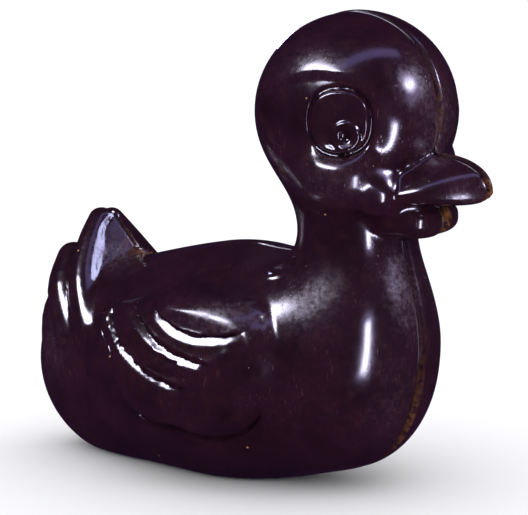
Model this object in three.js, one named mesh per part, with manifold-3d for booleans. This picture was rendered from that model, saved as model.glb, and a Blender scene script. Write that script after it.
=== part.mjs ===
// A moulded chocolate duck: one solid piece, cast in a two-part mould whose halves
// met a little out of step, so that a small ledge runs all round its middle.
// Millimetres. +X is towards the bill, +Y is the duck's left, +Z is up, and the
// origin is on the table under the middle of its box.
//
// The duck is described by a field: a function of a point that is negative inside
// the chocolate and close to the distance from its surface. Each half is traced
// from the field, thinned where it is smooth, and cut off at the seam and the table.
import * as THREE from 'three';
import { mergeVertices } from 'three/addons/utils/BufferGeometryUtils.js';
import Module from 'manifold-3d';

const { abs, hypot, cos, sin, exp, min, max, PI } = Math;
const wasm = await Module();
wasm.setup();

// Driving dimensions. Places are [x, y, z] for one half, with y counted outwards from the seam.

const middle = 2.65; // the forms below are placed from a point this far behind the box's middle

// The left half lies a little ahead of the right one at the foot, and above it at the bill.
const slip = { turn: 0.009, ahead: 1.5, up: 0.2 };
const overlap = 0.1; // each half reaches this far past the seam

// The grid that each half is traced on, and how it is thinned.
const grid = { step: 1.05, from: [-67, -3, -3], to: [69, 37, 115], lid: 1.2 };
const thinning = { triangles: 6300, evenness: 2e-4, share: 1 / 12, turn: 0.5 };

const body = {
  trunk: { at: [0, 0, 25.2], radii: [35.3, 28.8, 28.4] },
  breast: { at: [32.5, 0, 31.5], radii: [16, 18.6, 24.5] },
  rump: { at: [-34, 0, 21.2], radii: [26.3, 18.6, 24] },
  blend: 16,
};

const neck = { foot: [33, 0, 36, 13.3], top: [29.4, 0, 76, 12.8], blend: 6 };

const head = {
  skull: { at: [30.5, 0, 85.5], radii: [22.5, 22.2, 22], blend: 7 },
  cheek: { at: [36.4, 13, 72], radii: [10, 9.3, 6.9], blend: 4.5 },
  mouthCorner: { at: [44.6, 11, 69], radii: [5, 5, 5], blend: 2.6 },
  fold: { at: 9, ahead: [38, 44], above: [68, 73], below: [90, 85], rise: 0.35, width: 2.6 },
  from: [64, 68], // the face's relief fades in over these heights
};

// Half lengths, and how square the rim is in plan, the ridge from the side and the underside.
const bill = {
  hinge: { at: [44.5, 0, 66], radii: [8.5, 10.2, 6.4], blend: 2.6 },
  upper: {
    at: [50, 0, 68.6], long: 16, wide: 11.8, up: 8.4, down: 2.6, rim: 1.32, ridge: 2.3, under: 2.2,
  },
  lower: {
    at: [46, 0, 62.5], long: 8.8, wide: 8.6, up: 3.6, down: 4.2, rim: 2.8, ridge: 3.5, under: 2.6,
  },
  blend: 1.3,
};

// Each tail feather is a bar along a curve: its points are [x, y, z, radius], root first.
const tail = {
  core: [[-41.5, 0, 38, 11], [-43.2, 0, 49.6, 5.6]],
  ridge: [[-30, 0, 43, 3.2], [-43, 0, 54.6, 3]],
  coreBlend: 1.5,
  feathers: [
    {
      points: [[-33, 17, 31, 4.5], [-39.5, 12.3, 41, 4], [-42.6, 6.5, 49.5, 3.4], [-43.8, 1.5, 55.2, 3]],
      crease: 1,
    },
    { points: [[-40, 15, 29, 4.6], [-47, 10.3, 38.4, 4.7], [-49.6, 4.8, 45.4, 4.2]], crease: 0.7 },
    { points: [[-46, 12, 22, 4.8], [-51, 8, 31, 4.7], [-53.2, 3.5, 37, 3.7]], crease: 0.7 },
  ],
  rootBlend: 1.8,
  behind: -20, // nothing of the tail lies further forward
};

// The flat leaf on the tail's front: its foot, the way out of it, up it and across it. The
// feather stands proud of it with a slanted wall, and so does the root along its lower edge.
const leaf = {
  foot: [-35.1, 9.2, 42.8],
  out: [0.616, 0.53, 0.583],
  up: [-0.35, -0.478, 0.805],
  across: [0.706, -0.7, -0.109],
  long: 17.5,
  bow: 2.4,
  lean: [0.664, -0.747],
  slant: 1.1,
  under: 1.2,
  thick: 7,
  top: 57.6,
  fill: 0.8,
  edge: 0.35,
};

// The wing is a raised pad. Its lines are bowed: from one [x, z] point on the flank to
// another, with their sag in the middle.
const wing = {
  front: [8, 29, 16.5],
  rear: [-21, 35.5, 4.5],
  belly: { at: [-4, 28.5], radius: 14.6, blend: 4 },
  rise: 2.9,
  roll: 3.6,
  fullness: 2.4,
  softEdge: 3,
  softAbove: [32, 44],
  softAhead: [13, 24],
  softLow: [14, 24],
  moat: { depth: 1, at: 0.4, width: 0.65, wall: [-0.2, 0.4] },
  // where one feather overlaps the next: the upper one ends in a lip, and the lower one
  // starts under it and slopes out again
  laps: [
    { from: [-13, 41], to: [12.5, 30.2], sag: 2, lip: 0.35, cut: 1.3, reach: 2.3 },
    { from: [-21.5, 39], to: [7, 24.4], sag: 3.2, lip: 0.35, cut: 1.6, reach: 2.3 },
    { from: [-4.5, 41], to: [19, 37.8], sag: 3, lip: 0.35, cut: 0.8, reach: 2.3 },
    { from: [-3.6, 32], to: [4.5, 29.9], sag: 0.4, lip: 0.1, cut: 0.45, reach: 1.8 },
    { from: [-4, 28.4], to: [8.5, 26.9], sag: 0.3, lip: 0, cut: 0.35, reach: 1.5 },
  ],
  lipWidth: 1,
  wall: 0.3,
  inside: [0, -2.5], // the laps fade in over these distances inside the wing's edge
  // how each kind of line fades in and out, as shares of its length
  lapRun: [[-0.03, 0.06], [1.04, 0.9]],
  swellingRun: [[-0.05, 0.2], [1.05, 0.8]],
  dashRun: [[0, 0.06], [1, 0.94]],
  swellings: [
    { from: [-5.5, 42], to: [19, 38.3], sag: -0.8, rise: 1.2, width: 2.7 },
    { from: [17, 33.5], to: [9.5, 27], sag: 0, rise: 0.5, width: 1.2 },
    { from: [-6.5, 45.2], to: [18, 43], sag: -1, rise: 0.35, width: 1 },
  ],
  dashes: {
    from: [-4, 20.9], to: [17, 20.4], sag: 0.9, rise: 0.3, width: 0.45, count: 4.5, gaps: [-0.2, 0.5],
  },
  flank: [10, 14], // the relief fades in over these distances from the seam
  below: 60, // the wing's relief ends at this height
};

const eye = {
  at: [40, 19.5, 84.7],
  facing: 26, // how far the eye is turned forwards from the side, in degrees
  // the socket's edge is sharp behind and softer in front
  socket: {
    behind: 4.5, long: 13.5, high: 9.9, depth: 1.3, below: [-10, -4], edge: [0.1, 0.36], ahead: [-2, 9],
  },
  plate: { long: 6.4, high: 6.7, square: 2.4, rise: 0.75, wall: [0.3, -0.4] },
  moat: { depth: 0.7, at: 0.5, width: 0.45 },
  dish: { depth: 0.3, wall: [-0.6, -2] },
  iris: { ahead: 1.5, below: 3, radius: 3.2, rise: 0.65, wall: [0.35, -0.5] },
  pupil: { depth: 0.9, wall: [1.68, 0.6] },
  lid: { away: 3.4, width: 2.4, rise: 0.45, behind: [-9, -4], ahead: [9, 5], below: [-1, -5] },
  side: [6, 10], // the eye's relief fades in over these distances from the seam
};

// Helpers for the field.

const mix = (a, b, t) => a + (b - a) * t;
const clamp = (t) => min(max(t, 0), 1);
const bell = (distance, width) => exp(-((distance / width) ** 2));
const along = (p, way) => p[0] * way[0] + p[1] * way[1] + p[2] * way[2];

function smooth([from, to], value) {
  const t = clamp((value - from) / (to - from));
  return t * t * (3 - 2 * t);
}

const within = ([start, end], value) => smooth(start, value) * smooth(end, value);

// Joins two fields with a fillet about as wide as blend.
function join(a, b, blend) {
  const t = clamp(0.5 + (0.5 * (b - a)) / blend);
  return mix(b, a, t) - blend * t * (1 - t);
}

// Takes one field out of another, with the edge rounded by blend.
const takeOut = (a, b, blend) => -join(-a, b, blend);

function ellipsoid(x, y, z, { at, radii }) {
  const dx = x - at[0];
  const dy = y - at[1];
  const dz = z - at[2];
  const near = hypot(dx / radii[0], dy / radii[1], dz / radii[2]);
  const slope = hypot(dx / radii[0] ** 2, dy / radii[1] ** 2, dz / radii[2] ** 2);
  return (near * (near - 1)) / max(slope, 1e-9);
}

// A bar with round ends from a to b, each [x, y, z, radius].
function bar(x, y, z, a, b) {
  const d = [b[0] - a[0], b[1] - a[1], b[2] - a[2]];
  const p = [x - a[0], y - a[1], z - a[2]];
  const t = clamp(along(p, d) / along(d, d));
  return hypot(p[0] - d[0] * t, p[1] - d[1] * t, p[2] - d[2] * t) - mix(a[3], b[3], t);
}

function bars(x, y, z, points) {
  let nearest = Infinity;
  for (let i = 1; i < points.length; i += 1) {
    nearest = min(nearest, bar(x, y, z, points[i - 1], points[i]));
  }
  return nearest;
}

// More points on a smooth curve through these.
function curved(points, steps = 4) {
  const knots = [points[0], ...points, points.at(-1)];
  const out = [];
  for (let i = 1; i < points.length; i += 1) {
    const [a, b, c, d] = knots.slice(i - 1, i + 3);
    for (let t = 0; t < 1; t += 1 / steps) {
      out.push(b.map((v, n) => v + (t * (c[n] - a[n] + t * (2 * a[n] - 5 * v + 4 * c[n] - d[n]
        + t * (3 * v - 3 * c[n] + d[n] - a[n])))) / 2));
    }
  }
  return [...out, points.at(-1)];
}

const feathers = tail.feathers.map(({ points, crease }) => ({ points: curved(points), crease }));

// Distance below a bowed line on the flank, and the place along it from 0 to 1.
function bowed(x, z, { from, to, sag }) {
  const length = hypot(to[0] - from[0], to[1] - from[1]);
  const ux = (to[0] - from[0]) / length;
  const uz = (to[1] - from[1]) / length;
  const place = ((x - from[0]) * ux + (z - from[1]) * uz) / length;
  const below = (x - from[0]) * uz - (z - from[1]) * ux - sag * 4 * place * (1 - place);
  return { below, place };
}

// How far out (a, b) lies, and how much each of them gives to that.
function norm(a, b, power) {
  const both = max((a ** power + b ** power) ** (1 / power), 1e-6);
  return [both, (a / both) ** (power - 1), (b / both) ** (power - 1)];
}

// One half of the bill: oval in plan, a roof along its ridge above and a shallow dish below.
const flattest = 0.03; // its slope is taken as no less than this, deep inside
function billPlate(x, y, z, { at, long, wide, up, down, rim, ridge, under }) {
  const a = abs(x - at[0]) / long;
  const b = abs(y - at[1]) / wide;
  if (z > at[2]) {
    const [profile, fromA, fromC] = norm(a, (z - at[2]) / up, ridge);
    const [near, fromProfile, fromB] = norm(profile, b, rim);
    const slope = hypot((fromProfile * fromA) / long, fromB / wide, (fromProfile * fromC) / up);
    return (near - 1) / max(slope, flattest);
  }
  const [plan, fromA, fromB] = norm(a, b, rim);
  const [near, fromPlan, fromC] = norm(plan, (at[2] - z) / down, under);
  const slope = hypot((fromPlan * fromA) / long, (fromPlan * fromB) / wide, fromC / down);
  return (near - 1) / max(slope, flattest);
}

// Relief: how far the surface is raised, on the flank and on the face.

function wingRelief(x, y, z) {
  const { front, rear, belly, moat, laps, swellings, dashes } = wing;
  const outline = bar(x, 0, z, [front[0], 0, front[1], front[2]], [rear[0], 0, rear[1], rear[2]]);
  const edge = join(outline, hypot(x - belly.at[0], z - belly.at[1]) - belly.radius, belly.blend);
  const soft = max(smooth(wing.softAbove, z), smooth(wing.softAhead, x) * smooth(wing.softLow, z));
  const pillow = 1 - (1 - clamp(-edge / wing.roll)) ** wing.fullness;
  let rise = wing.rise * mix(pillow, smooth([wing.softEdge, -wing.softEdge], edge), soft);
  rise -= moat.depth * (1 - soft) * bell(edge - moat.at, moat.width) * smooth(moat.wall, edge);
  for (const lap of laps) {
    const { below, place } = bowed(x, z, lap);
    const ends = smooth(wing.inside, edge) * within(wing.lapRun, place);
    const step = smooth([-wing.wall, wing.wall], below);
    const lip = lap.lip * bell(min(below, 0), wing.lipWidth) * (1 - step);
    rise += ends * (lip - lap.cut * step * clamp(1 - below / lap.reach));
  }
  for (const swelling of swellings) {
    const { below, place } = bowed(x, z, swelling);
    rise += swelling.rise * bell(below, swelling.width) * within(wing.swellingRun, place);
  }
  const { below, place } = bowed(x, z, dashes);
  const strokes = smooth(dashes.gaps, cos(2 * PI * dashes.count * place)) * within(wing.dashRun, place);
  return (rise + dashes.rise * bell(below, dashes.width) * strokes) * smooth(wing.flank, y);
}

function eyeRelief(x, y, z) {
  const { socket, plate, moat, dish, iris, pupil, lid } = eye;
  const turn = THREE.MathUtils.degToRad(eye.facing);
  const ahead = (x - eye.at[0]) * cos(turn) - (y - eye.at[1]) * sin(turn);
  const above = z - eye.at[2];
  const brow = hypot((ahead + socket.behind) / socket.long, above / socket.high);
  const soft = mix(...socket.edge, smooth(socket.ahead, ahead));
  let rise = -socket.depth * smooth([1 + soft, 1 - soft], brow) * smooth(socket.below, above);
  const [egg] = norm(abs(ahead / plate.long), abs(above / plate.high), plate.square);
  const rim = ((egg - 1) * (plate.long + plate.high)) / 2;
  rise += plate.rise * smooth(plate.wall, rim) - moat.depth * bell(rim - moat.at, moat.width);
  rise -= dish.depth * smooth(dish.wall, rim);
  const centre = hypot(ahead - iris.ahead, above + iris.below);
  rise += iris.rise * smooth(iris.wall, centre - iris.radius) - pupil.depth * smooth(pupil.wall, centre);
  const roll = smooth(lid.behind, ahead) * smooth(lid.ahead, ahead) * smooth(lid.below, above);
  return (rise + lid.rise * bell(rim - lid.away, lid.width) * roll) * smooth(eye.side, y);
}

// The soft fold between the eye and the middle of the face.
function foldRelief(x, y, z) {
  const { at, ahead, above, below, rise, width } = head.fold;
  return rise * bell(y - at, width) * smooth(ahead, x) * smooth(above, z) * smooth(below, z);
}

// The form of one half, y counted from the seam outwards.

function tailForm(x, y, z) {
  const p = [x - leaf.foot[0], y - leaf.foot[1], z - leaf.foot[2]];
  const [out, up, across] = [leaf.out, leaf.up, leaf.across].map((way) => along(p, way));
  const left = across + leaf.bow * sin(PI * clamp(up / leaf.long) ** 1.5);
  const inside = min(left, up * leaf.lean[0] + across * leaf.lean[1]);
  const plate = takeOut(max(out, -out - leaf.thick, -leaf.under - inside), leaf.top - z, leaf.fill);
  const core = join(bars(x, y, z, tail.core), bars(x, y, z, tail.ridge), tail.coreBlend);
  let d = join(core, plate, leaf.fill);
  feathers.forEach(({ points, crease }, i) => {
    d = join(d, bars(x, y, z, points), crease);
    if (i === 0) d = takeOut(d, -min(out, inside + leaf.slant * (out - 1)), leaf.edge);
  });
  return d;
}

function half(x, y, z) {
  let d = ellipsoid(x, y, z, body.trunk);
  d = join(d, ellipsoid(x, y, z, body.breast), body.blend);
  d = join(d, ellipsoid(x, y, z, body.rump), body.blend);
  d = join(d, bar(x, y, z, neck.foot, neck.top), neck.blend);
  for (const form of [head.skull, head.cheek, head.mouthCorner]) {
    d = join(d, ellipsoid(x, y, z, form), form.blend);
  }
  if (x < tail.behind) d = join(d, tailForm(x, y, z), tail.rootBlend);
  if (z < wing.below) d -= wingRelief(x, y, z);
  else d -= (eyeRelief(x, y, z) + foldRelief(x, y, z)) * smooth(head.from, z);
  d = join(d, ellipsoid(x, y, z, bill.hinge), bill.hinge.blend);
  d = join(d, billPlate(x, y, z, bill.upper), bill.blend);
  return join(d, billPlate(x, y, z, bill.lower), bill.blend);
}

// Tracing the surface.

// Moves a point onto the surface, along the field's slope.
function settle(field, point) {
  const reach = 0.02;
  for (let pass = 0; pass < 4; pass += 1) {
    const { x, y, z } = point;
    const here = field(x, y, z);
    const slope = new THREE.Vector3(
      field(x + reach, y, z) - field(x - reach, y, z),
      field(x, y + reach, z) - field(x, y - reach, z),
      field(x, y, z + reach) - field(x, y, z - reach),
    ).divideScalar(2 * reach);
    point.addScaledVector(slope, -here / max(slope.lengthSq(), 0.3));
  }
  return point;
}

// Sorts a grid cell's crossed edges into the separate patches of surface that they cut.
// On a face that is crossed four times, the patches cut off its two inside corners.
function patchesOf(crossings) {
  const patch = crossings.map((crossing, i) => i);
  for (let axis = 0; axis < 3; axis += 1) {
    for (let side = 0; side < 2; side += 1) {
      const onFace = crossings.filter((c) => c.axis !== axis && ((c.corner >> axis) & 1) === side);
      for (const p of onFace) {
        for (const q of onFace) {
          if (onFace.length === 4 && p.inside !== q.inside) continue;
          const [kept, lost] = [patch[crossings.indexOf(p)], patch[crossings.indexOf(q)]];
          patch.forEach((n, i) => { if (n === lost) patch[i] = kept; });
        }
      }
    }
  }
  return patch;
}

// A dual net: one point for each patch of surface in each grid cell, and two
// triangles for each grid edge that the surface crosses.
function trace(field) {
  const { step, from, to } = grid;
  const count = from.map((start, axis) => Math.ceil((to[axis] - start) / step) + 1);
  const stride = [1, count[0], count[0] * count[1]];
  const values = new Float32Array(count[0] * count[1] * count[2]);
  const place = (i, axis) => from[axis] + i * step;
  const indexOf = (cell) => cell[0] + cell[1] * stride[1] + cell[2] * stride[2];
  const cells = [];
  for (let k = 0; k < count[2]; k += 1) {
    for (let j = 0; j < count[1]; j += 1) {
      for (let i = 0; i < count[0]; i += 1) {
        values[indexOf([i, j, k])] = field(place(i, 0), place(j, 1), place(k, 2));
        if (i > 0 && j > 0 && k > 0) cells.push([i - 1, j - 1, k - 1]);
      }
    }
  }
  const points = [];
  const pointOfEdge = new Map();
  const edgeKey = (cellIndex, axis, corner) => cellIndex * 24 + axis * 8 + corner;
  for (const cell of cells) {
    const at = indexOf(cell);
    const crossings = [];
    for (let corner = 0; corner < 8; corner += 1) {
      const offset = [corner & 1, (corner >> 1) & 1, corner >> 2];
      const here = at + indexOf(offset);
      for (let axis = 0; axis < 3; axis += 1) {
        const [a, b] = [values[here], values[here + stride[axis]]];
        if (offset[axis] === 1 || (a < 0) === (b < 0)) continue;
        const spot = cell.map((c, n) => place(c + offset[n] + (n === axis ? a / (a - b) : 0), n));
        crossings.push({ axis, corner, inside: a < 0 ? corner : corner + 2 ** axis, spot });
      }
    }
    if (crossings.length === 0) continue;
    const patch = patchesOf(crossings);
    for (const n of new Set(patch)) {
      const own = crossings.filter((crossing, i) => patch[i] === n);
      const sum = new THREE.Vector3();
      for (const { axis, corner, spot } of own) {
        sum.add(new THREE.Vector3(...spot));
        pointOfEdge.set(edgeKey(at, axis, corner), points.length);
      }
      points.push(settle(field, sum.divideScalar(own.length)));
    }
  }
  const faces = [];
  for (const cell of cells) {
    const at = indexOf(cell);
    for (let axis = 0; axis < 3; axis += 1) {
      const side = (axis + 1) % 3;
      const other = (axis + 2) % 3;
      const inside = values[at] < 0;
      if (cell[side] === 0 || cell[other] === 0 || inside === values[at + stride[axis]] < 0) continue;
      const quad = [[0, 0], [1, 0], [1, 1], [0, 1]].map(([s, o]) => {
        const back = s * stride[side] + o * stride[other];
        return pointOfEdge.get(edgeKey(at - back, axis, s * 2 ** side + o * 2 ** other));
      });
      if (!inside) quad.reverse();
      faces.push([quad[0], quad[1], quad[2]], [quad[0], quad[2], quad[3]]);
    }
  }
  return { points, faces };
}

// Thinning: smooth stretches need fewer triangles than the feathers and the eye.

// The ten terms of the squared distance from a triangle's plane, weighted by its area.
function planeTerms(a, b, c) {
  const normal = new THREE.Vector3().subVectors(b, a).cross(new THREE.Vector3().subVectors(c, a));
  const area = normal.length() / 2;
  normal.normalize();
  const plane = [normal.x, normal.y, normal.z, -normal.dot(a)];
  const terms = [];
  plane.forEach((p, i) => plane.slice(i).forEach((q, j) => terms.push(area * p * q * (j > 0 ? 2 : 1))));
  return terms;
}

function misfit(terms, point) {
  const v = [point.x, point.y, point.z, 1];
  let sum = 0;
  let n = 0;
  for (let i = 0; i < 4; i += 1) {
    for (let j = i; j < 4; j += 1) {
      sum += terms[n] * v[i] * v[j];
      n += 1;
    }
  }
  return sum;
}

// True if no face but those on the joined edge would turn over or collapse.
function staysFlat(points, faces, joined, target) {
  return faces.every((face) => {
    if (joined.every((p) => face.includes(p))) return true;
    const before = face.map((p) => points[p]);
    const after = face.map((p) => (joined.includes(p) ? target : points[p]));
    const normals = [before, after].map(([a, b, c]) => new THREE.Vector3().subVectors(b, a)
      .cross(new THREE.Vector3().subVectors(c, a)).normalize());
    return normals[0].dot(normals[1]) > thinning.turn;
  });
}

// Joins neighbouring points, cheapest first, until few enough triangles are left. Long edges
// cost more, which keeps triangles even where the surface is flat.
function thin(field, { points, faces }) {
  const terms = points.map(() => new Array(10).fill(0));
  for (const face of faces) {
    const plane = planeTerms(...face.map((p) => points[p]));
    face.forEach((p) => plane.forEach((term, i) => { terms[p][i] += term; }));
  }
  let left = faces;
  while (left.length > thinning.triangles) {
    const around = points.map(() => []);
    left.forEach((face) => face.forEach((p) => around[p].push(face)));
    const edges = [];
    for (const face of left) {
      face.forEach((a, i) => {
        const b = face[(i + 1) % 3];
        if (a > b) return;
        const both = terms[a].map((term, n) => term + terms[b][n]);
        const middlePoint = new THREE.Vector3().addVectors(points[a], points[b]).multiplyScalar(0.5);
        let best = { cost: Infinity };
        for (const target of [middlePoint, points[a], points[b]]) {
          const cost = misfit(both, target) + thinning.evenness * points[a].distanceTo(points[b]) ** 4;
          if (cost < best.cost) best = { cost, target };
        }
        edges.push({ a, b, both, ...best });
      });
    }
    edges.sort((p, q) => p.cost - q.cost);
    const touched = new Set();
    const gone = new Set();
    const most = min((left.length - thinning.triangles) / 2, edges.length * thinning.share);
    let joins = 0;
    for (const { a, b, both, target } of edges) {
      if (joins >= most) break;
      if (touched.has(a) || touched.has(b)) continue;
      const ringA = new Set(around[a].flat());
      const ringB = new Set(around[b].flat());
      const shared = [...ringA].filter((p) => ringB.has(p)).length;
      const nearby = [...around[a], ...around[b]];
      if (shared !== 4 || !staysFlat(points, nearby, [a, b], target)) continue;
      [...ringA, ...ringB].forEach((p) => touched.add(p));
      points[a] = settle(field, target.clone());
      terms[a] = both;
      for (const face of around[b]) {
        if (face.includes(a)) gone.add(face);
        else face[face.indexOf(b)] = a;
      }
      joins += 1;
    }
    if (joins === 0) break;
    left = left.filter((face) => !gone.has(face));
  }
  return { points, faces: left };
}

// Solids.

function solidOf({ points, faces }) {
  const used = [...new Set(faces.flat())];
  const newIndex = new Map(used.map((p, i) => [p, i]));
  return new wasm.Manifold(new wasm.Mesh({
    numProp: 3,
    vertProperties: new Float32Array(used.flatMap((p) => points[p].toArray())),
    triVerts: new Uint32Array(faces.flat().map((p) => newIndex.get(p))),
  }));
}

function boxSolid(box) {
  const size = box.getSize(new THREE.Vector3());
  const block = new THREE.BoxGeometry(size.x, size.y, size.z);
  block.deleteAttribute('normal').deleteAttribute('uv');
  block.translate(...box.getCenter(new THREE.Vector3()).toArray());
  const merged = mergeVertices(block);
  return new wasm.Manifold(new wasm.Mesh({
    numProp: 3,
    vertProperties: merged.attributes.position.array,
    triVerts: new Uint32Array(merged.index.array),
  }));
}

// One half from beyond the seam outwards, with y counted outwards; side is 1 for the duck's
// left and -1 for its right. It is closed a little past the seam and the table, and then cut.
function halfSolid(side) {
  const field = (x, y, z) => {
    const fromZero = x + middle;
    const ahead = (side / 2) * (slip.ahead - slip.turn * z);
    const up = (side / 2) * (slip.up + slip.turn * fromZero);
    return max(half(fromZero - ahead, abs(y), z - up), -grid.lid - y, -grid.lid - z);
  };
  const { points, faces } = thin(field, trace(field));
  if (side < 0) {
    points.forEach((p) => { p.y = -p.y; });
    faces.forEach((face) => face.reverse());
  }
  return solidOf({ points, faces });
}

const large = 500;
const vector = (x, y, z) => new THREE.Vector3(x, y, z);
const leftOfSeam = boxSolid(new THREE.Box3(vector(-large, -overlap, 0), vector(large, large, large)));
const rightOfSeam = boxSolid(new THREE.Box3(vector(-large, -large, 0), vector(large, overlap, large)));
const whole = halfSolid(1).intersect(leftOfSeam).add(halfSolid(-1).intersect(rightOfSeam)).getMesh();

const geometry = new THREE.BufferGeometry();
geometry.setAttribute('position', new THREE.BufferAttribute(whole.vertProperties, 3));
geometry.setIndex(new THREE.BufferAttribute(whole.triVerts, 1));
geometry.computeVertexNormals();

const chocolate = new THREE.MeshStandardMaterial({
  name: 'chocolate', color: 0x2a1119, roughness: 0.22, metalness: 0,
});

const duck = new THREE.Group();
const duckMesh = new THREE.Mesh(geometry, chocolate);
duckMesh.name = 'duck';
duck.add(duckMesh);

export default duck;
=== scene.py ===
import math

import bmesh
import bpy
import numpy as np
from mathutils import Matrix, Quaternion, Vector


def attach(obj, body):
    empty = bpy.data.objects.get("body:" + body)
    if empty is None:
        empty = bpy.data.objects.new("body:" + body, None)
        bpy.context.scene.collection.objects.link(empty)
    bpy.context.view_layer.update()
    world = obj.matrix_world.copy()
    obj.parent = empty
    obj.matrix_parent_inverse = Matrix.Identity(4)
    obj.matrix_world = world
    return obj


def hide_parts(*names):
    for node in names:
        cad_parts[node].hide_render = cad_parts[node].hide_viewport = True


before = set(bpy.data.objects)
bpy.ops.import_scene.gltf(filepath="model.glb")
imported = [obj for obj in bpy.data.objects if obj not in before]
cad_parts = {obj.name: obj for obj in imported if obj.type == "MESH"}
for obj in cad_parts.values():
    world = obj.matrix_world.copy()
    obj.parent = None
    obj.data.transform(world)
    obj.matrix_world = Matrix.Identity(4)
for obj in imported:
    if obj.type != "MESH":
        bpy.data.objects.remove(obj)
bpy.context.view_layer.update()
mm = 0.001

casting = dict(
    middle=2.65,            # the forms' own zero, behind the middle of the box
    # the left half sits a little ahead of the right one at the foot, and higher at the bill
    slip=dict(turn=0.009, ahead=1.5, up=0.2),
    ledge=0.1,              # half the width of the step between the halves
    groove=0.3, grooveWidth=0.35,
    # the groove is open on the back
    gash=dict(at=-27, reach=4.5, above=(40, 44), depth=0.9, width=0.7),
    # a curled flaw beside the right wing: a short dent with a raised rim
    curl=dict(start=(17, -12.6, 50, 0), end=(22.5, -11.2, 51.2, 0), depth=0.55, width=1,
              rim=0.3, rimAt=2, rimWidth=0.8),
    baseRound=1.2,
)

skin = dict(
    voxel=1.18,             # base mesh, before the fine stretches are split
    seamLoops=(-1.1, -0.55, -0.28, -0.1, 0.1, 0.28, 0.55, 1.1),
    seamReach=1.15,         # points nearer the seam keep their place across it
    probe=0.02,             # how far off the field is read to find its slope
    gentlest=0.3,           # least squared slope that a point's step is worked out with
    farthest=1.5,           # longest step of a point
    passes=5, coarsePasses=3, finePasses=2,   # steps on the way to the surface
    rounds=2, evening=0.5, lastEvening=0.3,
    sole=0.01,              # points lower than this stay on the flat foot
    onLoop=1e-3, cutTolerance=1e-4,
    ballSegments=48, barSegments=32,
    # stretches that are split once: the wing with a margin, the tail, the bill and the eye's side
    wingSide=12, wingMargin=3.5,
    tailFrom=-27, tailLow=24, tailRise=0.35,
    billFrom=36, billHeights=(55, 80),
    eyeFrom=18, eyeSide=8, eyeLow=70,
    # stretches that are split twice: the wing's edge, the laps, the eye and the curl
    edgeAt=-0.2, edgeReach=1.3,
    lapAt=0.2, lapReach=1.2, lapEnds=(-0.08, 1.08),
    eyeReach=(8.6, 8.9), curlReach=4,
)

body = dict(
    trunk=((0, 0, 25.2), (35.3, 28.8, 28.4)),
    breast=((32.5, 0, 31.5), (16, 18.6, 24.5)),
    rump=((-34, 0, 21.2), (26.3, 18.6, 24)),
    blend=16,
    neckFoot=(33, 0, 36, 13.3),
    neckTop=(29.4, 0, 76, 12.8),
    neckBlend=6,
)

face = dict(
    skull=((30.5, 0, 85.5), (22.5, 22.2, 22)),
    skullBlend=7,
    cheek=((36.4, 13, 72), (10, 9.3, 6.9)),
    cheekBlend=4.5,
    mouthCorner=((44.6, 11, 69), (5, 5, 5)),
    mouthCornerBlend=2.6,
    # the soft fold beside the nose, and where it fades in and out
    fold=dict(at=9, rise=0.35, width=2.6, ahead=(38, 44), above=(68, 73), below=(90, 85)),
    above=(64, 68),         # the face's relief fades in over these heights
)

bill = dict(
    # half lengths, and how square the rim is in plan, the ridge from the side and the underside
    upper=dict(at=(50, 0, 68.6), long=16, wide=11.8, up=8.4, down=2.6, rim=1.32, ridge=2.3, under=2.2),
    lower=dict(at=(46, 0, 62.5), long=8.8, wide=8.6, up=3.6, down=4.2, rim=2.8, ridge=3.5, under=2.6),
    hinge=((44.5, 0, 66), (8.5, 10.2, 6.4)),
    blend=1.3, hingeBlend=2.6,
    flattest=0.03,          # least slope of a plate's field, deep inside
)

# each feather of the tail is a bar through (x, y, z, radius) points, root first
tail = dict(
    core=((-41.5, 0, 38, 11), (-43.2, 0, 49.6, 5.6)),
    ridge=((-30, 0, 43, 3.2), (-43, 0, 54.6, 3)),
    coreBlend=1.5,
    feathers=(
        ((-33, 17, 31, 4.5), (-39.5, 12.3, 41, 4), (-42.6, 6.5, 49.5, 3.4), (-43.8, 1.5, 55.2, 3)),
        ((-40, 15, 29, 4.6), (-47, 10.3, 38.4, 4.7), (-49.6, 4.8, 45.4, 4.2)),
        ((-46, 12, 22, 4.8), (-51, 8, 31, 4.7), (-53.2, 3.5, 37, 3.7)),
    ),
    creases=(1, 0.7, 0.7),
    rootBlend=1.8,
    behind=-20,             # nothing of the tail lies further forward
    # flat leaf on the front: its foot, the way out of it, up it and across it; the feather stands
    # proud of it with a slanted wall, and so does the root along the leaf's lower right edge
    leaf=dict(foot=(-35.1, 9.2, 42.8), out=(0.616, 0.53, 0.583), up=(-0.35, -0.478, 0.805),
              across=(0.706, -0.7, -0.109), long=17.5, bow=2.4, lean=(0.664, -0.747), slant=1.1,
              under=1.2, thick=7, top=57.6, fill=0.8, edge=0.35),
)

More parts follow.
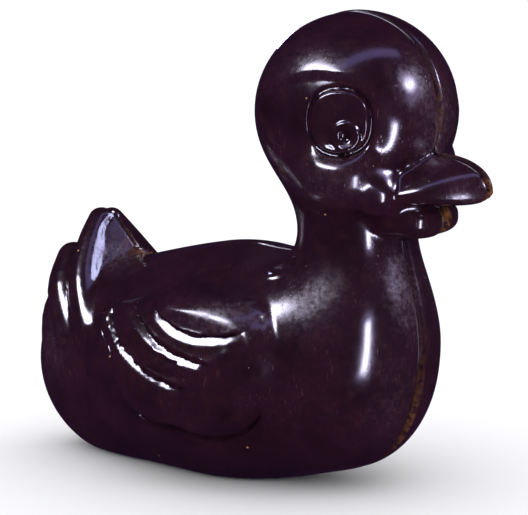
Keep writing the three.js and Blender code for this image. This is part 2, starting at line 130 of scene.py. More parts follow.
wing = dict(
    front=(8, 29), rear=(-21, 35.5), frontRadius=16.5, rearRadius=4.5,
    belly=(-4, 28.5), bellyRadius=14.6, bellyBlend=4,
    rise=2.9, roll=3.6, fullness=2.4,
    softEdge=3, softAbove=(32, 44), softAhead=(13, 24), softLow=(14, 24),
    moatDepth=1, moatAt=0.4, moatWidth=0.65, moatWall=(-0.2, 0.4),
    # where one feather overlaps the next: the upper one ends in a lip, and the lower one
    # starts under it and slopes out again
    laps=(
        dict(start=(-13, 41), end=(12.5, 30.2), sag=2, lip=0.35, cut=1.3, reach=2.3),
        dict(start=(-21.5, 39), end=(7, 24.4), sag=3.2, lip=0.35, cut=1.6, reach=2.3),
        dict(start=(-4.5, 41), end=(19, 37.8), sag=3, lip=0.35, cut=0.8, reach=2.3),
        dict(start=(-3.6, 32), end=(4.5, 29.9), sag=0.4, lip=0.1, cut=0.45, reach=1.8),
        dict(start=(-4, 28.4), end=(8.5, 26.9), sag=0.3, lip=0, cut=0.35, reach=1.5),
    ),
    lipWidth=1, wall=0.3,
    inside=(0, -2.5),       # the laps fade in over these distances inside the wing's edge
    # how each kind of line fades in and out, as shares of its length
    lapRun=((-0.03, 0.06), (1.04, 0.9)),
    swellingRun=((-0.05, 0.2), (1.05, 0.8)),
    dashRun=((0, 0.06), (1, 0.94)),
    swellings=(
        dict(start=(-5.5, 42), end=(19, 38.3), sag=-0.8, height=1.2, width=2.7),
        dict(start=(17, 33.5), end=(9.5, 27), sag=0, height=0.5, width=1.2),
        dict(start=(-6.5, 45.2), end=(18, 43), sag=-1, height=0.35, width=1),
    ),
    dashes=dict(start=(-4, 20.9), end=(17, 20.4), sag=0.9, height=0.3, width=0.45, count=4.5,
                gaps=(-0.2, 0.5)),
    flank=(10, 14),         # the relief fades in over these distances from the seam
    below=60,               # the wing's relief ends at this height
)

eye = dict(
    at=(40, 19.5, 84.7), facing=26,
    # the socket's edge is sharp behind and softer in front
    socket=dict(behind=4.5, long=13.5, high=9.9, depth=1.3, below=(-10, -4), edge=(0.1, 0.36),
                ahead=(-2, 9)),
    plate=dict(long=6.4, high=6.7, square=2.4, rise=0.75, wall=(0.3, -0.4)),
    moat=dict(depth=0.7, at=0.5, width=0.45),
    dish=dict(depth=0.3, wall=(-0.6, -2)),
    iris=dict(ahead=1.5, below=3, radius=3.2, rise=0.65, wall=(0.35, -0.5)),
    pupil=dict(depth=0.9, wall=(1.68, 0.6)),
    lid=dict(away=3.4, width=2.4, rise=0.45, behind=(-9, -4), ahead=(9, 5), below=(-1, -5)),
    side=(6, 10),           # the relief fades in over these distances from the seam
)


# The field: negative inside the chocolate, near the distance from its surface.

def smooth(start, end, value):
    t = np.clip((value - start) / (end - start), 0, 1)
    return t * t * (3 - 2 * t)


def within(run, value):  # fades in over the first stretch and out over the second
    return smooth(*run[0], value) * smooth(*run[1], value)


def bell(distance, width):
    return np.exp(-(distance / width) ** 2)


def join(a, b, blend):
    t = np.clip(0.5 + 0.5 * (b - a) / blend, 0, 1)
    return b + (a - b) * t - blend * t * (1 - t)


def ball(x, y, z, form):
    at, radii = form
    dx, dy, dz = x - at[0], y - at[1], z - at[2]
    near = np.sqrt((dx / radii[0]) ** 2 + (dy / radii[1]) ** 2 + (dz / radii[2]) ** 2)
    slope = np.sqrt((dx / radii[0] ** 2) ** 2 + (dy / radii[1] ** 2) ** 2 + (dz / radii[2] ** 2) ** 2)
    return near * (near - 1) / np.maximum(slope, 1e-9)


def bar(x, y, z, a, b):
    d = [b[i] - a[i] for i in range(3)]
    p = [x - a[0], y - a[1], z - a[2]]
    t = np.clip((p[0] * d[0] + p[1] * d[1] + p[2] * d[2]) / sum(v * v for v in d), 0, 1)
    gap = np.sqrt(sum((p[i] - d[i] * t) ** 2 for i in range(3)))
    return gap - (a[3] + (b[3] - a[3]) * t)


def curved(points, steps=4):  # more points on a smooth curve through these
    knots = np.array([points[0], *points, points[-1]], float)
    out = []
    for a, b, c, d in zip(knots[:-3], knots[1:-2], knots[2:-1], knots[3:]):
        for t in np.arange(steps) / steps:
            bend = 2 * a - 5 * b + 4 * c - d
            out.append(b + t * ((c - a) + t * (bend + t * (3 * b - 3 * c + d - a))) / 2)
    return [*out, knots[-1]]


def bars(x, y, z, points):
    nearest = bar(x, y, z, points[0], points[1])
    for a, b in zip(points[1:-1], points[2:]):
        nearest = np.minimum(nearest, bar(x, y, z, a, b))
    return nearest


def bowed(x, z, line):  # how far below a bowed line, and how far along it
    start, end, sag = line["start"], line["end"], line["sag"]
    length = math.hypot(end[0] - start[0], end[1] - start[1])
    ux, uz = (end[0] - start[0]) / length, (end[1] - start[1]) / length
    along = ((x - start[0]) * ux + (z - start[1]) * uz) / length
    below = (x - start[0]) * uz - (z - start[1]) * ux - sag * 4 * along * (1 - along)
    return below, along


def norm(a, b, power):  # how far out (a, b) lies, and how much of that each of them gives
    both = np.maximum((a ** power + b ** power) ** (1 / power), 1e-6)
    return both, (a / both) ** (power - 1), (b / both) ** (power - 1)


def billPlate(x, y, z, form):  # oval in plan, a roof along its ridge above and a shallow dish below
    above = z > form["at"][2]
    long, wide, deep = form["long"], form["wide"], np.where(above, form["up"], form["down"])
    a, b, c = np.abs(x - form["at"][0]) / long, np.abs(y) / wide, np.abs(z - form["at"][2]) / deep
    ridge, ridgeA, ridgeC = norm(a, c, form["ridge"])
    roof, roofRidge, roofB = norm(ridge, b, form["rim"])
    roofSlope = np.hypot(np.hypot(roofRidge * ridgeA / long, roofB / wide), roofRidge * ridgeC / deep)
    plan, planA, planB = norm(a, b, form["rim"])
    dish, dishPlan, dishC = norm(plan, c, form["under"])
    dishSlope = np.hypot(dishPlan * np.hypot(planA / long, planB / wide), dishC / deep)
    slope = np.where(above, roofSlope, dishSlope)
    return (np.where(above, roof, dish) - 1) / np.maximum(slope, bill["flattest"])


def wingEdge(x, z):
    flat = np.zeros_like(x)
    outline = bar(x, flat, z, (wing["front"][0], 0, wing["front"][1], wing["frontRadius"]),
                  (wing["rear"][0], 0, wing["rear"][1], wing["rearRadius"]))
    belly = np.hypot(x - wing["belly"][0], z - wing["belly"][1]) - wing["bellyRadius"]
    return join(outline, belly, wing["bellyBlend"])


def wingRelief(x, y, z):
    edge = wingEdge(x, z)
    softFront = smooth(*wing["softAhead"], x) * smooth(*wing["softLow"], z)
    soft = np.maximum(smooth(*wing["softAbove"], z), softFront)
    pillow = 1 - (1 - np.clip(-edge / wing["roll"], 0, 1)) ** wing["fullness"]
    gentle = smooth(wing["softEdge"], -wing["softEdge"], edge)
    rise = wing["rise"] * (pillow + (gentle - pillow) * soft)
    moat = wing["moatDepth"] * bell(edge - wing["moatAt"], wing["moatWidth"])
    rise -= moat * (1 - soft) * smooth(*wing["moatWall"], edge)
    inside = smooth(*wing["inside"], edge)
    for lap in wing["laps"]:
        below, along = bowed(x, z, lap)
        step = smooth(-wing["wall"], wing["wall"], below)
        lip = lap["lip"] * bell(np.minimum(below, 0), wing["lipWidth"]) * (1 - step)
        cut = lap["cut"] * step * np.clip(1 - below / lap["reach"], 0, 1)
        rise += (lip - cut) * inside * within(wing["lapRun"], along)
    for form in wing["swellings"]:
        below, along = bowed(x, z, form)
        rise += form["height"] * bell(below, form["width"]) * within(wing["swellingRun"], along)
    form = wing["dashes"]
    below, along = bowed(x, z, form)
    strokes = smooth(*form["gaps"], np.cos(2 * math.pi * form["count"] * along))
    rise += form["height"] * bell(below, form["width"]) * strokes * within(wing["dashRun"], along)
    return rise * smooth(*wing["flank"], y)


def eyePlace(x, y, z):
    turn = math.radians(eye["facing"])
    ahead = (x - eye["at"][0]) * math.cos(turn) - (y - eye["at"][1]) * math.sin(turn)
    return ahead, z - eye["at"][2]


def eyeRelief(x, y, z):
    ahead, above = eyePlace(x, y, z)
    socket, plate, moat, dish, iris, pupil, lid = (
        eye[name] for name in ("socket", "plate", "moat", "dish", "iris", "pupil", "lid"))
    brow = np.hypot((ahead + socket["behind"]) / socket["long"], above / socket["high"])
    sharp, blunt = socket["edge"]
    soft = sharp + (blunt - sharp) * smooth(*socket["ahead"], ahead)
    rise = -socket["depth"] * smooth(1 + soft, 1 - soft, brow) * smooth(*socket["below"], above)
    egg = norm(np.abs(ahead / plate["long"]), np.abs(above / plate["high"]), plate["square"])[0]
    rim = (egg - 1) * (plate["long"] + plate["high"]) / 2
    rise += plate["rise"] * smooth(*plate["wall"], rim)
    rise -= moat["depth"] * bell(rim - moat["at"], moat["width"])
    rise -= dish["depth"] * smooth(*dish["wall"], rim)
    centre = np.hypot(ahead - iris["ahead"], above + iris["below"])
    rise += iris["rise"] * smooth(*iris["wall"], centre - iris["radius"])
    rise -= pupil["depth"] * smooth(*pupil["wall"], centre)
    roll = within((lid["behind"], lid["ahead"]), ahead) * smooth(*lid["below"], above)
    rise += lid["rise"] * bell(rim - lid["away"], lid["width"]) * roll
    return rise * smooth(*eye["side"], y)


def foldRelief(x, y, z):
    fold = face["fold"]
    part = smooth(*fold["ahead"], x) * within((fold["above"], fold["below"]), z)
    return part * fold["rise"] * bell(y - fold["at"], fold["width"])


def leafPlace(x, y, z):  # height over the leaf, and how far inside its left and its lower edge
    leaf = tail["leaf"]
    p = [x - leaf["foot"][0], y - leaf["foot"][1], z - leaf["foot"][2]]
    out, up, across = (sum(p[i] * leaf[way][i] for i in range(3)) for way in ("out", "up", "across"))
    place = np.clip(up / leaf["long"], 0, 1)
    left = across + leaf["bow"] * np.sin(math.pi * place ** 1.5)
    return out, left, up * leaf["lean"][0] + across * leaf["lean"][1]


def tailForm(x, y, z):
    leaf = tail["leaf"]
    out, left, low = leafPlace(x, y, z)
    plate = np.maximum(np.maximum(out, -out - leaf["thick"]), -leaf["under"] - np.minimum(left, low))
    plate = -join(-plate, leaf["top"] - z, leaf["fill"])
    d = join(bars(x, y, z, tail["core"]), bars(x, y, z, tail["ridge"]), tail["coreBlend"])
    d = join(d, plate, leaf["fill"])
    d = join(d, bars(x, y, z, curved(tail["feathers"][0])), tail["creases"][0])
    cut = np.minimum(out, np.minimum(left, low) + leaf["slant"] * (out - 1))
    d = -join(-d, -cut, leaf["edge"])
    for feather, crease in zip(tail["feathers"][1:], tail["creases"][1:]):
        d = join(d, bars(x, y, z, curved(feather)), crease)
    return d


def half(x, y, z):  # y counts outwards from the seam
    d = ball(x, y, z, body["trunk"])
    d = join(d, ball(x, y, z, body["breast"]), body["blend"])
    d = join(d, ball(x, y, z, body["rump"]), body["blend"])
    d = join(d, bar(x, y, z, body["neckFoot"], body["neckTop"]), body["neckBlend"])
    d = join(d, ball(x, y, z, face["skull"]), face["skullBlend"])
    d = join(d, ball(x, y, z, face["cheek"]), face["cheekBlend"])
    d = join(d, ball(x, y, z, face["mouthCorner"]), face["mouthCornerBlend"])
    d = np.where(x < tail["behind"], join(d, tailForm(x, y, z), tail["rootBlend"]), d)
    headRelief = (eyeRelief(x, y, z) + foldRelief(x, y, z)) * smooth(*face["above"], z)
    d = d - np.where(z < wing["below"], wingRelief(x, y, z), headRelief)
    d = join(d, ball(x, y, z, bill["hinge"]), bill["hingeBlend"])
    d = join(d, billPlate(x, y, z, bill["upper"]), bill["blend"])
    return join(d, billPlate(x, y, z, bill["lower"]), bill["blend"])


def duckField(p):  # p in millimetres, from the forms' own zero
    x, y, z = p[:, 0], p[:, 1], p[:, 2]
    slip, gash, curl = casting["slip"], casting["gash"], casting["curl"]
    side = np.clip(y / casting["ledge"], -1, 1) / 2
    ahead, up = side * (slip["ahead"] - slip["turn"] * z), side * (slip["up"] + slip["turn"] * x)
    d = half(x - ahead, np.abs(y), z - up)
    d = d + casting["groove"] * bell(y, casting["grooveWidth"])
    opened = gash["depth"] * bell(x - gash["at"], gash["reach"]) * smooth(*gash["above"], z)
    d = d + opened * bell(y, gash["width"])
    away = bar(x, y, z, curl["start"], curl["end"])
    d = d + curl["depth"] * bell(away, curl["width"])
    d = d - curl["rim"] * bell(away - curl["rimAt"], curl["rimWidth"])
    return -join(-d, z, casting["baseRound"])


def settle(points, passes):  # moves points onto the surface, keeping the seam's loops in line
    probe = skin["probe"]
    for _ in range(passes):
        here = duckField(points)
        slope = np.stack([(duckField(points + probe * way) - here) / probe for way in np.eye(3)], 1)
        slope[np.abs(points[:, 1]) < skin["seamReach"], 1] = 0
        step = -here / np.maximum((slope ** 2).sum(1), skin["gentlest"])
        points = points + np.clip(step, -skin["farthest"], skin["farthest"])[:, None] * slope
    return points


# Modelling.

def addBall(bm, form, side=1):
    at, radii = form
    place = Matrix.LocRotScale(Vector((at[0], at[1] * side, at[2])), None, Vector(radii))
    segments = skin["ballSegments"]
    bmesh.ops.create_uvsphere(bm, u_segments=segments, v_segments=segments // 2, radius=1, matrix=place)


def addBar(bm, a, b, side=1):
    start = Vector((a[0], a[1] * side, a[2]))
    end = Vector((b[0], b[1] * side, b[2]))
    turn = (end - start).to_track_quat("Z", "Y")
    place = Matrix.LocRotScale((start + end) / 2, turn, None)
    segments = skin["barSegments"]
    bmesh.ops.create_cone(bm, cap_ends=True, segments=segments, radius1=a[3], radius2=b[3],
                          depth=(end - start).length, matrix=place)
    for spot, radius in ((start, a[3]), (end, b[3])):
        bmesh.ops.create_uvsphere(bm, u_segments=segments, v_segments=segments // 2, radius=radius,
                                  matrix=Matrix.Translation(spot))


def addBillPlate(bm, form):
    radii = Vector((form["long"], form["wide"], (form["up"] + form["down"]) / 2))
    at = Vector(form["at"]) + Vector((0, 0, (form["up"] - form["down"]) / 2))
    addBall(bm, (at, radii))


def roughDuck():  # balls and bars, still one inside the other
    bm = bmesh.new()
    for name in ("trunk", "breast", "rump"):
        addBall(bm, body[name])
    addBar(bm, body["neckFoot"], body["neckTop"])
    addBall(bm, face["skull"])
    for side in (-1, 1):
        addBall(bm, face["cheek"], side)
        addBall(bm, face["mouthCorner"], side)
        for feather in tail["feathers"]:
            for a, b in zip(feather[:-1], feather[1:]):
                addBar(bm, a, b, side)
    addBar(bm, *tail["core"])
    addBar(bm, *tail["ridge"])
    addBall(bm, bill["hinge"])
    addBillPlate(bm, bill["upper"])
    addBillPlate(bm, bill["lower"])
    return bm


def fused(bm, voxel):  # the voxel remesh makes one closed skin of what overlaps
    rough = bpy.data.meshes.new("rough")
    bm.to_mesh(rough)
    bm.free()
    holder = bpy.data.objects.new("rough", rough)
    bpy.context.scene.collection.objects.link(holder)
    remesh = holder.modifiers.new("skin", "REMESH")
    remesh.mode = "VOXEL"
    remesh.voxel_size = voxel
    closed = bpy.data.meshes.new_from_object(holder.evaluated_get(bpy.context.evaluated_depsgraph_get()))
    bpy.data.objects.remove(holder)
    bpy.data.meshes.remove(rough)
    out = bmesh.new()
    out.from_mesh(closed)
    bpy.data.meshes.remove(closed)
    return out


def pointsOf(bm):
    return np.array([v.co for v in bm.verts])


def putPoints(bm, points):
    for v, p in zip(bm.verts, points):
        v.co = p


def splitWhere(bm, wanted):  # one round of splitting on the edges whose ends are both wanted
    inside = wanted(pointsOf(bm))
    bm.verts.index_update()
    edges = [e for e in bm.edges if inside[e.verts[0].index] and inside[e.verts[1].index]]
    bmesh.ops.subdivide_edges(bm, edges=edges, cuts=1, use_grid_fill=True)


def evenOut(bm, factor):  # spreads the points evenly, away from the seam and the foot
    loose = [v for v in bm.verts if abs(v.co.y) > skin["seamReach"] and v.co.z > skin["sole"]]
    bmesh.ops.smooth_vert(bm, verts=loose, factor=factor, use_axis_x=True, use_axis_y=True, use_axis_z=True)


def relax(bm, passes):  # puts the points on the surface, evens them out and puts them back on it
    putPoints(bm, settle(pointsOf(bm), skin["passes"]))
    for _ in range(skin["rounds"]):
        evenOut(bm, skin["evening"])
        putPoints(bm, settle(pointsOf(bm), passes))


def mirrored(p):
    return p[:, 0], np.abs(p[:, 1]), p[:, 2]


def nearCurl(p):
    curl = casting["curl"]
    return bar(p[:, 0], p[:, 1], p[:, 2], curl["start"], curl["end"]) < skin["curlReach"]


def detailed(p):  # wing, tail, bill and the eye's surroundings
    x, y, z = mirrored(p)
    onWing = (z < wing["below"]) & (y > skin["wingSide"]) & (wingEdge(x, z) < skin["wingMargin"])
    onTail = (x < skin["tailFrom"]) & (z > skin["tailLow"] + skin["tailRise"] * (x - skin["tailFrom"]))
    onBill = (x > skin["billFrom"]) & (z > skin["billHeights"][0]) & (z < skin["billHeights"][1])
    onEye = (x > skin["eyeFrom"]) & (y > skin["eyeSide"]) & (z > skin["eyeLow"])
    return onWing | onTail | onBill | onEye | nearCurl(p)


def finest(p):  # grooves of the wing and the eye itself
    x, y, z = mirrored(p)
    onWing = (z < wing["below"]) & (y > skin["wingSide"])
    grooves = np.abs(wingEdge(x, z) - skin["edgeAt"]) < skin["edgeReach"]
    first, last = skin["lapEnds"]
    for lap in wing["laps"]:
        below, along = bowed(x, z, lap)
        grooves |= (np.abs(below - skin["lapAt"]) < skin["lapReach"]) & (along > first) & (along < last)
    ahead, above = eyePlace(x, y, z)
    inEye = np.hypot(ahead / skin["eyeReach"][0], above / skin["eyeReach"][1]) < 1
    onEye = (z > skin["eyeLow"]) & (y > skin["eyeSide"]) & inEye
    return (onWing & grooves) | onEye | nearCurl(p)


def makeDuck():
    bm = fused(roughDuck(), skin["voxel"])
    print("skin:", len(bm.verts), "points")
    relax(bm, skin["coarsePasses"])
    for y in skin["seamLoops"]:
        geometry = list(bm.verts) + list(bm.edges) + list(bm.faces)
        bmesh.ops.bisect_plane(bm, geom=geometry, dist=skin["cutTolerance"], plane_co=(0, y, 0),
                               plane_no=(0, 1, 0))
    for edge in bm.edges:  # the two edges of the step between the halves stay sharp
        if all(abs(abs(v.co.y) - casting["ledge"]) < skin["onLoop"] for v in edge.verts):
            edge.smooth = False
    for fineStretch in (detailed, finest):
        splitWhere(bm, fineStretch)
        relax(bm, skin["finePasses"])
    evenOut(bm, skin["lastEvening"])
    bmesh.ops.translate(bm, verts=bm.verts, vec=(-casting["middle"], 0, 0))
    bmesh.ops.scale(bm, verts=bm.verts, vec=(mm, mm, mm))
    bmesh.ops.triangulate(bm, faces=bm.faces)
    print("duck:", len(bm.faces), "triangles")
    mesh = bpy.data.meshes.new("chocolateDuck")
    bm.to_mesh(mesh)
    bm.free()
    mesh.shade_smooth()
    duck = bpy.data.objects.new("chocolateDuck", mesh)
    bpy.context.scene.collection.objects.link(duck)
    return duck


# The chocolate: dark and glossy, with dull rubbed stretches that also carry painted sheen, hair scratches,
# specks and pits, and painted shade in its grooves and creases.

chocolate = dict(
    dark=(0.0118, 0.0032, 0.0080), light=(0.0235, 0.0058, 0.0146), russet=(0.034, 0.0075, 0.0090),
    # the paler purple of rubbed patches: partly real dull bloom, partly painted sheen
    dulledAndSheen=(0.085, 0.034, 0.068), scratched=(0.15, 0.062, 0.085), bared=(0.3, 0.12, 0.03),
    # the colour of the painted shade in grooves and creases
    fleck=(0.6, 0.36, 0.16), hollowShadeColour=(0.002, 0.0008, 0.0014),
    gloss=0.14, glossSwing=0.05, dullGloss=0.5, specular=0.5,
    # noises: size in mm, detail and roughness
    cloud=(9, 5, 0.6), speck=(2.4, 4, 0.65), grain=(0.7, 3, 0.6), wave=(14, 2, 0.4),
    patch=(1.1, 5, 0.7), dullGrain=(0.45, 3, 0.6), wornGrain=(1.6, 4, 0.7), hair=(0.3, 1, 0.4),
    # what part of a noise counts: from, to, and the strengths there if not 0 and 1
    lightRange=(0.33, 0.67), russetRange=(0.52, 0.75, 0, 0.6), darkRange=(0.3, 0.45, 0.35, 0),
    glossRange=(0.3, 0.7), patchRange=(0.35, 0.65), patchSpeckRange=(0.3, 0.6),
    hairRange=(0.71, 0.78), looseHairRange=(0.48, 0.66, 0, 0.45), wornRange=(0.42, 0.56),
    patchiness=0.85, bareness=0.85, hollowShadeStrength=0.9,
    hairTurns=((1.5, 0.3, 0), (0.5, 1.3, 0.3), (-0.9, 0.4, 1.2)), hairStretch=0.07,
    flecks=(7.5, 0.3, 0.3), pits=(3.1, 0.2, 0.25),      # spacing and radius in mm, and how often
    waveDepth=0.05, grainDepth=0.004, dullDepth=0.012, hairDepth=0.022, pitDepth=0.06,   # mm
    shadedHollow=(0.08, 0.5), evening=3,                      # painted shade in the grooves, from their curvature per mm
    # rubbed patches, duller and paler: partly real rubbed bloom, partly painted sheen; middle, reach and
    # strength
    rubbedAndSheen=(
        ((46, -3, 47), (7, 4, 10), 0.95),
        ((29, -18, 45), (8.5, 8, 7), 0.35),
        ((50, -4, 93), (6, 6.5, 7), 0.6),
        ((53, 0, 83), (4, 7, 11), 0.8),
        ((31, -18, 96), (11, 8, 5), 0.3),
        ((-36, -6, 50), (5, 5, 6), 0.9),
        ((-46, -16, 26), (8, 6, 9), 0.35),
        ((12, -26, 40), (9, 6, 3.2), 0.8),
        ((46, -6, 22), (8, 6, 12), 0.3),
        ((62, -4, 69), (4, 5, 3), 0.5),
        ((37, -20, 71), (8, 6, 6), 0.4),
        ((-39, -4, 49), (4, 5, 7), 0.55),
        ((30, 19, 42), (10, 8, 8), 0.7),
        ((44, 9, 50), (8, 6, 12), 0.6),
        ((22, 17, 92), (9, 7, 8), 0.5),
        ((-20, 20, 38), (12, 9, 8), 0.6),
        ((-50, 8, 30), (7, 8, 9), 0.5),
    ),
    # where the seam is worn through to the paler inside
    worn=(
        ((-26, 0, 49), (8, 2.2, 6), 1),
        ((56, 0, 62), (3, 0.9, 4), 1),
        ((66, 0, 70), (3, 0.7, 3), 0.6),
        ((52, 0, 84), (5, 0.7, 11), 0.25),
        ((44, 0, 20), (6, 0.6, 12), 0.5),
    ),
)


def patchStrength(points, patches):
    strength = np.zeros(len(points))
    for middle, reach, most in patches:
        away = (((points - np.array(middle)) / np.array(reach)) ** 2).sum(1)
        strength = np.maximum(strength, most * np.exp(-away))
    return strength


def hollowness(mesh, points):  # how strongly the surface curves in, per mm, evened out a little
    ends = np.array([e.vertices[:] for e in mesh.edges])
    normals = np.array([v.normal[:] for v in mesh.vertices])
    along = points[ends[:, 1]] - points[ends[:, 0]]
    square = np.maximum((along ** 2).sum(1), 1e-4)
    count = np.bincount(ends.ravel(), minlength=len(points))
    here, there = (normals[ends[:, 0]] * along).sum(1), (normals[ends[:, 1]] * along).sum(1)
    bend = np.stack([here, -there], 1) / square[:, None]
    shadedHollow = np.bincount(ends.ravel(), bend.ravel(), len(points)) / count
    for _ in range(chocolate["evening"]):
        shadedHollow = np.bincount(ends.ravel(), shadedHollow[ends[:, ::-1]].ravel(), len(points)) / count
    return shadedHollow


def paintZones(mesh):  # what the material needs to know about places, kept on the mesh's points
    points = np.array([v.co for v in mesh.vertices]) / mm + (casting["middle"], 0, 0)
    zones = {name: patchStrength(points, chocolate[name]) for name in ("rubbedAndSheen", "worn")}
    # painted shade: darker where the surface curves in, in its grooves and creases
    zones["shadedHollow"] = smooth(*chocolate["shadedHollow"], hollowness(mesh, points))
    for name, values in zones.items():
        layer = mesh.attributes.new(name, "FLOAT", "POINT")
        layer.data.foreach_set("value", values.astype(np.float32))


def addNode(tree, kind, inputs=None, **settings):
    made = tree.nodes.new("ShaderNode" + kind)
    for name, value in settings.items():
        setattr(made, name, value)
    for name, value in (inputs or {}).items():
        if isinstance(value, bpy.types.NodeSocket):
            tree.links.new(value, made.inputs[name])
        else:
            made.inputs[name].default_value = value
    return made


def makeChocolate():
    material = bpy.data.materials.new("chocolate")
    material.use_nodes = True
    tree = material.node_tree
    shader = tree.nodes["Principled BSDF"]
    place = addNode(tree, "TexCoord").outputs["Object"]

    def noise(size, detail, rough, vector=place):  # size in mm
        return addNode(tree, "TexNoise", {"Vector": vector, "Scale": 1 / (size * mm), "Detail": detail,
                                          "Roughness": rough}).outputs["Fac"]

    def spread(value, low, high, start=0, end=1):
        return addNode(tree, "MapRange", {"Value": value, "From Min": low, "From Max": high,
                                          "To Min": start, "To Max": end}).outputs["Result"]

    def sums(kind, a, b):
        return addNode(tree, "Math", {0: a, 1: b}, operation=kind).outputs[0]

    def tint(amount, under, over):
        made = addNode(tree, "Mix", {"Factor": amount}, data_type="RGBA")
        for socket, value in ((made.inputs[6], under), (made.inputs[7], over)):
            if isinstance(value, bpy.types.NodeSocket):
                tree.links.new(value, socket)
            else:
                socket.default_value = (*value, 1)
        return made.outputs[2]

    def streaks(turn):  # long and thin
        stretch = (1, 1, chocolate["hairStretch"])
        placed = addNode(tree, "Mapping", {"Vector": place, "Rotation": turn, "Scale": stretch})
        return spread(noise(*chocolate["hair"], placed.outputs["Vector"]), *chocolate["hairRange"])

    def dots(cell, radius, chance):  # a dot in some of the cells of a scatter, cell and radius in mm
        cells = addNode(tree, "TexVoronoi", {"Vector": place, "Scale": 1 / (cell * mm)})
        chosen = addNode(tree, "SeparateColor", {"Color": cells.outputs["Color"]}).outputs["Red"]
        near = spread(cells.outputs["Distance"], radius / cell, 0.5 * radius / cell)
        return sums("MULTIPLY", near, sums("GREATER_THAN", chosen, 1 - chance))

    def zone(name):
        return addNode(tree, "Attribute", attribute_name=name).outputs["Fac"]

    cloud, grain, speck = (noise(*chocolate[name]) for name in ("cloud", "grain", "speck"))
    rubbedAndSheen, shadedHollow = zone("rubbedAndSheen"), zone("shadedHollow")
    patchy = sums("MULTIPLY", spread(noise(*chocolate["patch"]), *chocolate["patchRange"]),
                  spread(speck, *chocolate["patchSpeckRange"]))
    patchiness = chocolate["patchiness"]
    dullAndSheen = sums("MULTIPLY", rubbedAndSheen, sums("ADD", sums("MULTIPLY", patchy, patchiness), 1 - patchiness))
    hairs = 0
    for turn in chocolate["hairTurns"]:
        hairs = sums("MAXIMUM", hairs, streaks(turn))
    hairs = sums("MULTIPLY", hairs, sums("ADD", rubbedAndSheen, spread(cloud, *chocolate["looseHairRange"])))
    pits = dots(*chocolate["pits"])
    worn = sums("MULTIPLY", zone("worn"), spread(noise(*chocolate["wornGrain"]), *chocolate["wornRange"]))

    colour = tint(spread(cloud, *chocolate["lightRange"]), chocolate["dark"], chocolate["light"])
    colour = tint(spread(speck, *chocolate["russetRange"]), colour, chocolate["russet"])
    colour = tint(spread(grain, *chocolate["darkRange"]), colour, chocolate["dark"])
    # rubbed patches paler and purpler: partly real dull bloom, partly painted sheen
    colour = tint(dullAndSheen, colour, chocolate["dulledAndSheen"])
    colour = tint(hairs, colour, chocolate["scratched"])
    colour = tint(sums("MULTIPLY", worn, chocolate["bareness"]), colour, chocolate["bared"])
    # painted shade: grooves and creases darkened almost to black
    colour = tint(sums("MULTIPLY", shadedHollow, chocolate["hollowShadeStrength"]), colour, chocolate["hollowShadeColour"])
    colour = tint(dots(*chocolate["flecks"]), colour, chocolate["fleck"])
    tree.links.new(colour, shader.inputs["Base Color"])

    gloss, swing = chocolate["gloss"], chocolate["glossSwing"]
    roughness = spread(speck, *chocolate["glossRange"], gloss - swing / 2, gloss + swing / 2)
    roughness = sums("ADD", roughness, sums("MULTIPLY", dullAndSheen, chocolate["dullGloss"]))
    tree.links.new(roughness, shader.inputs["Roughness"])
    shader.inputs["Specular IOR Level"].default_value = chocolate["specular"]

    height = sums("MULTIPLY", noise(*chocolate["wave"]), chocolate["waveDepth"])
    dullGrain = sums("MULTIPLY", rubbedAndSheen, noise(*chocolate["dullGrain"]))
    for layer, depth in ((grain, chocolate["grainDepth"]), (dullGrain, chocolate["dullDepth"]),
                         (hairs, -chocolate["hairDepth"]), (pits, -chocolate["pitDepth"])):
        height = sums("ADD", height, sums("MULTIPLY", layer, depth))
    relief = addNode(tree, "Bump", {"Height": height, "Distance": mm, "Strength": 1.0})
    tree.links.new(relief.outputs["Normal"], shader.inputs["Normal"])
    return material


# Camera, light and floor.

view = dict(azimuth=37.5, elevation=8, distance=550, aim=(1.95, 0, 50), focal=162, sensor=36, nearest=10)


def towards(azimuth, elevation):  # azimuth counts from the duck's right side towards its front
    a, e = math.radians(azimuth), math.radians(elevation)
    return Vector((math.sin(a) * math.cos(e), -math.cos(a) * math.cos(e), math.sin(e)))


def makeCamera():
    back = towards(view["azimuth"], view["elevation"])
    data = bpy.data.cameras.new("camera")
    data.lens = view["focal"]
    data.sensor_width = view["sensor"]
    data.clip_start = view["nearest"] * mm
    camera = bpy.data.objects.new("camera", data)
    camera.location = (Vector(view["aim"]) + back * view["distance"]) * mm
    camera.rotation_euler = back.to_track_quat("Z", "Y").to_euler()
    bpy.context.scene.collection.objects.link(camera)
    bpy.context.scene.camera = camera


# sizes and distance in mm, turn in degrees
lamps = (
    dict(name="strip", shape="RECTANGLE", azimuth=65, elevation=-6, distance=136, wide=13, high=66, turn=0,
         glow=42, halo=0.05, colour=(0.8, 0.78, 1)),
    dict(name="side", shape="ELLIPSE", azimuth=106, elevation=29, distance=600, wide=100, high=110, turn=0,
         glow=55, halo=0.05, colour=(0.8, 0.78, 1)),
    dict(name="over", shape="ELLIPSE", azimuth=-16, elevation=46, distance=700, wide=560, high=220, turn=0,
         glow=34, halo=0, colour=(0.8, 0.78, 1)),
    dict(name="ceiling", shape="RECTANGLE", azimuth=55, elevation=68.5, distance=750, wide=1070, high=130,
         turn=14, glow=2.6, halo=0, colour=(0.45, 0.4, 1)),
    # a small one close by the tail, for the bevelled edge of its leaf
    dict(name="bevel", shape="RECTANGLE", azimuth=165.5, elevation=56, distance=50, wide=40, high=40, turn=0,
         glow=20, halo=0, colour=(0.6, 0.62, 1)),
)
lampsAim = (0, 0, 50)
halo = dict(colour=(0.5, 0.36, 1), spread=2.4)  # the weaker surroundings of a lamp


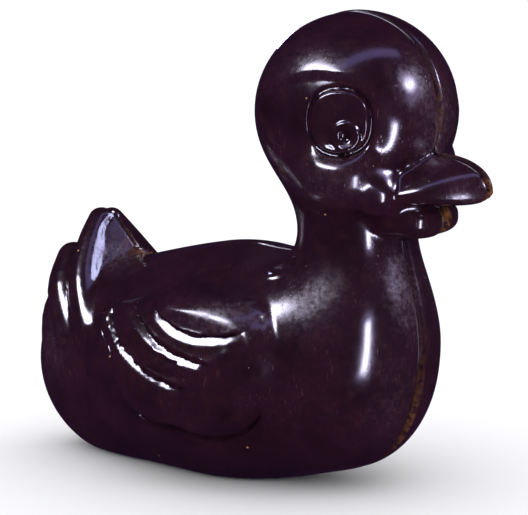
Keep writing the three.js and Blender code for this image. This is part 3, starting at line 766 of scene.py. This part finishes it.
def addLamp(lamp, spread, glow, colour):  # a spread of more than 1 adds a margin
    way = towards(lamp["azimuth"], lamp["elevation"])
    data = bpy.data.lights.new(lamp["name"], "AREA")
    data.shape = lamp["shape"]
    margin = min(lamp["wide"], lamp["high"]) * (spread - 1)
    data.size, data.size_y = (lamp["wide"] + margin) * mm, (lamp["high"] + margin) * mm
    data.energy = lamp["glow"] * glow * math.pi * data.size * data.size_y
    data.color = colour
    light = bpy.data.objects.new(lamp["name"], data)
    distance = lamp["distance"] + spread  # a halo lies just behind its lamp
    light.location = (Vector(lampsAim) + way * distance) * mm
    turned = Quaternion((0, 0, 1), math.radians(lamp["turn"]))
    light.rotation_euler = (way.to_track_quat("Z", "Y") @ turned).to_euler()
    light.visible_diffuse = False  # the pale room gives the soft light, the lamps only their gloss
    light.visible_camera = False
    bpy.context.scene.collection.objects.link(light)


def makeLamps():
    for lamp in lamps:
        addLamp(lamp, 1, 1, lamp["colour"])
        if lamp["halo"] > 0:
            addLamp(lamp, halo["spread"], lamp["halo"], halo["colour"])


room = dict(lit=(0.98, 0.98, 1), litStrength=1.2, dark=(0.02, 0.008, 0.03), darkStrength=1.0)


def makeRoom():  # pale all round for the floor and the soft light, dark in the gloss of the chocolate
    world = bpy.data.worlds.new("room")
    world.use_nodes = True
    tree = world.node_tree
    pale = tree.nodes["Background"]
    pale.inputs["Color"].default_value = (*room["lit"], 1)
    pale.inputs["Strength"].default_value = room["litStrength"]
    dark = addNode(tree, "Background", {"Color": (*room["dark"], 1), "Strength": room["darkStrength"]})
    glossy = addNode(tree, "LightPath").outputs["Is Glossy Ray"]
    both = addNode(tree, "MixShader", {0: glossy, 1: pale.outputs[0], 2: dark.outputs[0]})
    tree.links.new(both.outputs[0], tree.nodes["World Output"].inputs["Surface"])
    bpy.context.scene.world = world


ground = dict(reach=6, colour=(0.93, 0.93, 0.94), roughness=0.9)   # metres


def makeFloor():
    bm = bmesh.new()
    bmesh.ops.create_grid(bm, x_segments=1, y_segments=1, size=ground["reach"])
    mesh = bpy.data.meshes.new("floor")
    bm.to_mesh(mesh)
    bm.free()
    floor = bpy.data.objects.new("floor", mesh)
    bpy.context.scene.collection.objects.link(floor)
    paper = bpy.data.materials.new("floorPaper")
    paper.use_nodes = True
    shader = paper.node_tree.nodes["Principled BSDF"]
    shader.inputs["Base Color"].default_value = (*ground["colour"], 1)
    shader.inputs["Roughness"].default_value = ground["roughness"]
    shader.inputs["Specular IOR Level"].default_value = 0
    mesh.materials.append(paper)
    floor.visible_glossy = False


makeCamera()
makeLamps()
makeFloor()
makeRoom()
bpy.context.scene.view_settings.view_transform = "Standard"
duck = makeDuck()
paintZones(duck.data)
duck.data.materials.append(makeChocolate())
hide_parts("duck")
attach(duck, "root")
